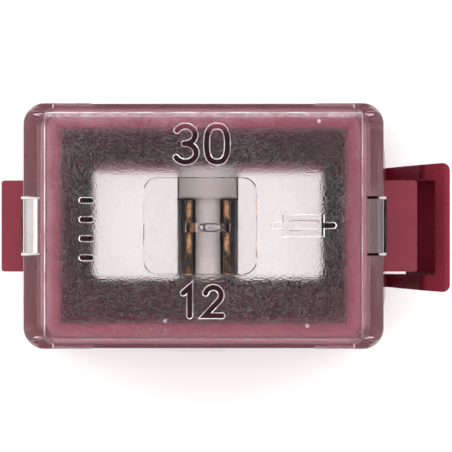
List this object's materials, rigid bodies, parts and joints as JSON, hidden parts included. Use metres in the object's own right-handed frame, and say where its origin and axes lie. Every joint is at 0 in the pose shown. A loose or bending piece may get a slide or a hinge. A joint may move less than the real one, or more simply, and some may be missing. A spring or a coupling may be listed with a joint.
{
  "type": "automotive cartridge fuse",
  "caption": "Tall automotive cartridge fuse with female blade terminals, a maroon housing with a side latch, and a clear clipped cover that shows the fusible link.",
  "frame": {"origin": "middle of the housing's flat base, below the middle of the cover", "axes": "+X along the long side towards the latch, +Y across it, +Z from the base up to the cover"},
  "size_m": [0.0295, 0.0163, 0.033],
  "materials": {
    "maroon_plastic": "moulded, semi-matt",
    "clear_plastic": "clear, fine spark texture on top, polished lens",
    "tinned_copper": "tin plated, bare copper at sheared edges",
    "tin": "smooth cast tin",
    "pale_insulator": "moulded, matt",
    "spring_steel": "rolled stainless strip"
  },
  "bodies": {
    "root": {"housing": "maroon_plastic", "cover": "clear_plastic", "fuse_element": "tinned_copper", "tin_pellet": "tin", "insulator": "pale_insulator", "contact_spring_right": "spring_steel", "contact_spring_left": "spring_steel"}
  },
  "joints": []
}
